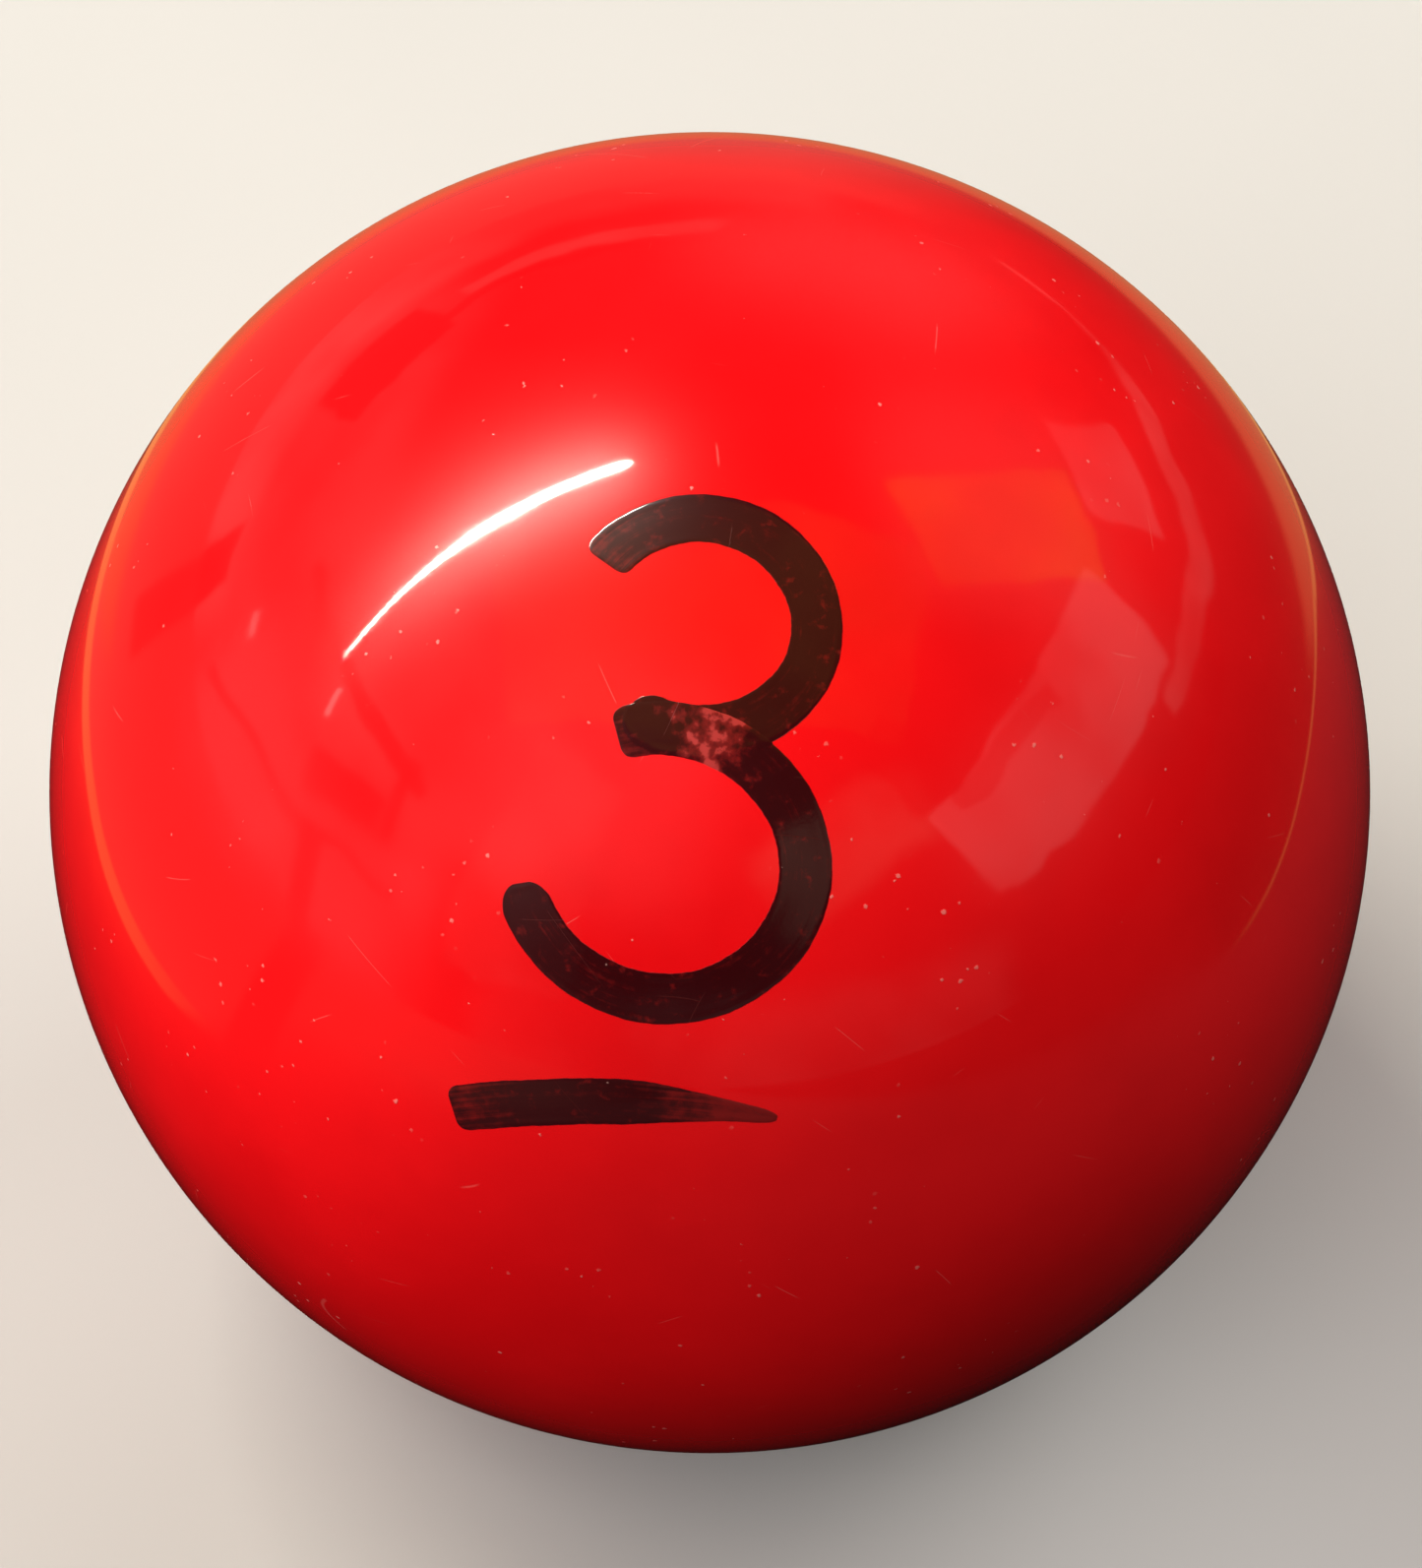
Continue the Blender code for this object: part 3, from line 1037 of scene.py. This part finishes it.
class BALL_OT_ink(bpy.types.Operator):
    """Makes the films of ink, one for each stroke of the pen"""

    bl_idname = "inked_ball.ink"
    bl_label = "Marker ink"

    def execute(self, context):
        ink = context.scene.ink_settings
        material = marker_ink(context.scene.ball_settings, ink)
        upper_middle = (0.0, WAIST_HEIGHT + UPPER_BOWL_HEIGHT / 2)
        lower_middle = (LOWER_BOWL_SHIFT, WAIST_HEIGHT - LOWER_BOWL_HEIGHT / 2)
        upper_line = bowl(upper_middle, UPPER_BOWL_WIDTH, UPPER_BOWL_HEIGHT, UPPER_BOWL_TURN)
        lower_line = bowl(lower_middle, LOWER_BOWL_WIDTH, LOWER_BOWL_HEIGHT, LOWER_BOWL_TURN)
        upper = Stroke(upper_line, ink, BLUNT_END, ROUND_END, seed=0.7)
        lower = Stroke(lower_line, ink, BLUNT_END, ROUND_END, seed=2.9)
        line = Stroke(underline(ink.pen_width), ink, BLUNT_END, ROUND_END, lifted=True, seed=5.3)
        films = (
            ("upper_bowl_film", "ink_upper_bowl", upper, {}),
            ("lower_bowl_film", "ink_lower_bowl", lower, {"under": upper, "worn_at": WORN_AT}),
            ("underline_film", "ink_underline", line, {}),
        )
        for name, node, stroke, extra in films:
            film = make_film(name, stroke, material, **extra)
            stay_inside(film, node)
            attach(film, BODY)
            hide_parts(node)
        return {"FINISHED"}


FLOOR_REACH = 8.0


def add_floor(studio):
    reach = FLOOR_REACH
    low = BALL_LOW.z
    corners = [(-reach, -reach, low), (reach, -reach, low), (reach, reach, low), (-reach, reach, low)]
    floor = object_from("floor", corners, [(0, 1, 2, 3)], plain_floor(studio))


FILL_DISTANCE = 1.0
# The soft lamps: name, azimuth, elevation, side in metres, radiance
FILLS = (
    ("front_fill", -30, 50, 0.7, 3.5),
    ("left_fill", -90, 6, 0.5, 8.4),
    ("low_fill", -60, 10, 0.4, 3.8),
    ("right_fill", 116, 42, 0.6, 3.9),
    ("back_fill", 165, 20, 0.5, 5.8),
)

TUBE_LOW_END, TUBE_HIGH_END = (-90, 30), (-146, 70)  # azimuth, elevation
TUBE_STEPS = 48
TUBE_DISTANCE = 0.80
TUBE_WIDTH = 0.0205
TUBE_RADIANCE = 188.0
TUBE_THIN = 0.06  # the low end's width, as a share of the whole width
TUBE_GROWS = 0.62  # share of the length over which it widens
TUBE_GROWTH = 1.25  # 1 widens evenly, and more widens late
TUBE_ROUNDS = 0.94  # share of the length at which the high end starts to round off


def add_fill(name, azimuth, elevation, side, radiance):
    """A square lamp that faces the ball. It lights the ball without a mirror image on it."""
    lamp = bpy.data.lights.new(name, "AREA")
    lamp.shape = "SQUARE"
    lamp.size = side
    lamp.energy = radiance * math.pi * side**2
    obj = bpy.data.objects.new(name, lamp)
    back, across, up = facing(azimuth, elevation)
    turn = Matrix((across, up, back)).transposed()
    obj.location = BALL_MIDDLE + back * FILL_DISTANCE
    obj.rotation_mode = "QUATERNION"
    obj.rotation_quaternion = turn.to_quaternion()
    obj.visible_glossy = False
    bpy.context.scene.collection.objects.link(obj)


def add_tube():
    """The long lamp that the bright streak mirrors: blunt at its high end, thin at its low one."""
    low, high = direction(*TUBE_LOW_END), direction(*TUBE_HIGH_END)
    angle = low.angle(high)
    sideways = low.cross(high).normalized()
    points = []
    for place in range(TUBE_STEPS + 1):
        share = place / TUBE_STEPS
        ahead = low * math.sin((1 - share) * angle) + high * math.sin(share * angle)
        ahead /= math.sin(angle)
        grown = min(1.0, share / TUBE_GROWS) ** TUBE_GROWTH
        past = max(0.0, (share - TUBE_ROUNDS) / (1 - TUBE_ROUNDS))
        rounded = math.sqrt(max(0.0, 1 - past**2))
        half = TUBE_WIDTH / 2 * (TUBE_THIN + (1 - TUBE_THIN) * grown) * rounded
        for side in (-half, half):
            points.append(BALL_MIDDLE + ahead * TUBE_DISTANCE + sideways * side)
    faces = [(2 * i, 2 * i + 1, 2 * i + 3, 2 * i + 2) for i in range(TUBE_STEPS)]
    tube = object_from("tube_lamp", points, faces, lamp_glow(TUBE_RADIANCE))


def add_lamps():
    add_tube()
    for fill in FILLS:
        add_fill(*fill)


# What the gloss mirrors: soft bright stretches of a room. Angles are in degrees: the azimuth and
# elevation of the middle, half the breadth, half the height, the softness of the edges, and the
# lean. Then the colour that each adds.
SURROUNDINGS = (
    (-100, 14, 52, 22, 14, 0, (0.19, 0.165, 0.155)),
    (-62, 40, 26, 14, 8, 0, (0.17, 0.15, 0.14)),
    (-150, -4, 38, 13, 6, 0, (0.17, 0.14, 0.12)),
    (-168, 17, 12, 1.6, 1.2, 0, (0.22, 0.19, 0.17)),
    (-3, 80, 34, 19, 1.5, 0, (0.27, 0.125, 0.022)),
    (77, 26, 25, 9.5, 1.2, -6, (0.50, 0.42, 0.40)),
    (126, 19, 7, 7, 1.0, 0, (0.46, 0.42, 0.40)),
    (128, 3.5, 32, 2.0, 1.4, -14, (0.34, 0.28, 0.25)),
    (112, 42, 9, 16, 1.2, 10, (0.60, 0.38, 0.0)),
    (30, 36, 15, 7, 5.0, 10, (0.32, 0.25, 0.18)),
    (6, 3, 42, 12, 8, 0, (0.10, 0.08, 0.075)),
    (-34, 30, 9, 20, 2.0, 0, (0.11, 0.09, 0.08)),
    (-105.5, 14, 1.7, 0.5, 0.5, -23, (1.9, 1.8, 1.7)),
    (-84, 27, 1.9, 0.5, 0.5, -60, (1.9, 1.8, 1.7)),
)
SURROUNDINGS_BASE = (0.024, 0.021, 0.020)
CLUTTER_LIGHT = (0.55, 1.35)  # the least and the most that it multiplies the light by
CLUTTER_BEND = 0.22

# Dark things in front of them, in the same terms, with the share of the light that they stop.
DARK_THINGS = (
    (-142, 16, 8, 5.5, 1.2, -10, 0.95),
    (-162, 20, 12, 1.0, 0.8, -3, 0.80),
    (-71, 3, 2.4, 8, 1.0, 22, 0.95),
    (-72, 21, 8, 3.4, 1.0, 15, 0.95),
    (-119, 1, 3.4, 6, 1.2, 0, 0.95),
    (69, 33, 12, 2.0, 0.8, -8, 0.50),
    (-62, 27, 1.4, 7, 0.8, 12, 0.85),
    (-84, 31, 22, 1.3, 0.8, 8, 0.90),
    (-80, 10, 26, 1.1, 0.8, 12, 0.85),
    (48, 44, 5, 8, 2.0, 20, 0.60),
)


def window_mask(n, ray, azimuth, elevation, breadth, height, softness, lean):
    """1 where the ray points into a window round this direction, 0 outside, soft at its edges."""
    ahead, side, upward = facing(azimuth, elevation, lean)
    forward = n.dot(ray, ahead)
    depth = n.math("MAXIMUM", forward, 0.001)
    mask = n.ramp(forward, 0.0, 0.05)
    for axis, half in ((side, breadth), (upward, height)):
        reach = n.math("ARCTANGENT", n.math("DIVIDE", n.dot(ray, axis), depth))
        reach = n.math("ABSOLUTE", reach)
        inner, outer = math.radians(half - softness / 2), math.radians(half + softness / 2)
        mask = n.math("MULTIPLY", mask, n.ramp(reach, outer, inner))
    return mask


def add_world():
    """A dim room with soft bright stretches, for the gloss. The camera itself sees plain pale."""
    world = bpy.data.worlds.new("studio")
    world.use_nodes = True
    n = Nodes(world.node_tree)
    ray = n.add("ShaderNodeTexCoord").outputs["Generated"]
    clutter = n.noise(ray, 2.2, 3.0, 0.55)
    uneven = n.ramp(clutter.outputs["Fac"], 0.35, 0.65, *CLUTTER_LIGHT)
    # The clutter also bends every edge a little.
    push = n.vector("SUBTRACT", clutter.outputs["Color"], (0.5, 0.5, 0.5))
    bent = n.vector("ADD", ray, n.vector("SCALE", push, scale=CLUTTER_BEND))
    total = SURROUNDINGS_BASE
    for *shape, light in SURROUNDINGS:
        lit = n.mix_colour(window_mask(n, bent, *shape), BLACK, rgba(light))
        total = n.vector("ADD", total, lit)
    for *shape, stopped in DARK_THINGS:
        left = n.math("MULTIPLY_ADD", window_mask(n, bent, *shape), -stopped, 1.0)
        total = n.vector("SCALE", total, scale=left)
    total = n.vector("SCALE", total, scale=uneven)
    seen = n.add("ShaderNodeLightPath").outputs["Is Camera Ray"]
    background = world.node_tree.nodes["Background"]
    n.put(n.mix_colour(seen, total, BACKDROP), background.inputs["Color"])
    background.inputs["Strength"].default_value = 1.0
    world.cycles.sampling_method = "NONE"
    bpy.context.scene.world = world


def add_camera(studio):
    camera = bpy.data.cameras.new("camera")
    obj = bpy.data.objects.new("camera", camera)
    back = direction(0.0, math.degrees(studio.camera_elevation))
    obj.location = BALL_MIDDLE + back * studio.camera_distance
    obj.rotation_mode = "QUATERNION"
    obj.rotation_quaternion = (-back).to_track_quat("-Z", "Y")
    # The ball's outline is where sight lines just touch it.
    outline = BALL_RADIUS / math.sqrt(studio.camera_distance**2 - BALL_RADIUS**2)
    half_height = outline * FRAME_HEIGHT / FRAME_WIDTH / DISC_SHARE_OF_WIDTH
    camera.sensor_fit = "VERTICAL"
    camera.sensor_height = camera.sensor_width
    camera.lens = camera.sensor_height / 2 / half_height
    camera.shift_x, camera.shift_y = DISC_SHIFT
    camera.clip_start = 0.01
    camera.clip_end = 50.0
    bpy.context.scene.collection.objects.link(obj)
    bpy.context.scene.camera = obj


class BALL_OT_stage(bpy.types.Operator):
    """Makes the floor, the lamps and the camera"""

    bl_idname = "inked_ball.stage"
    bl_label = "Studio"

    def execute(self, context):
        studio = context.scene.studio_settings
        add_floor(studio)
        add_lamps()
        add_world()
        add_camera(studio)
        context.scene.view_settings.view_transform = "Standard"
        return {"FINISHED"}


class BALL_PT_panel(bpy.types.Panel):
    bl_idname = "BALL_PT_panel"
    bl_label = "Inked ball"
    bl_space_type = "VIEW_3D"
    bl_region_type = "UI"
    bl_category = "Ball"

    def draw(self, context):
        scene = context.scene
        for settings, operator in (
            (scene.ball_settings, BALL_OT_ball),
            (scene.ink_settings, BALL_OT_ink),
            (scene.studio_settings, BALL_OT_stage),
        ):
            box = self.layout.box()
            for name in settings.__annotations__:
                box.prop(settings, name)
            box.operator(operator.bl_idname)


CLASSES = (
    BallSettings,
    InkSettings,
    StudioSettings,
    BALL_OT_ball,
    BALL_OT_ink,
    BALL_OT_stage,
    BALL_PT_panel,
)


def register():
    for kind in CLASSES:
        bpy.utils.register_class(kind)
    bpy.types.Scene.ball_settings = bpy.props.PointerProperty(type=BallSettings)
    bpy.types.Scene.ink_settings = bpy.props.PointerProperty(type=InkSettings)
    bpy.types.Scene.studio_settings = bpy.props.PointerProperty(type=StudioSettings)


def unregister():
    del bpy.types.Scene.studio_settings
    del bpy.types.Scene.ink_settings
    del bpy.types.Scene.ball_settings
    for kind in reversed(CLASSES):
        bpy.utils.unregister_class(kind)


def main():
    register()
    bpy.ops.inked_ball.ball()
    bpy.ops.inked_ball.ink()
    bpy.ops.inked_ball.stage()


if __name__ == "__main__":
    main()
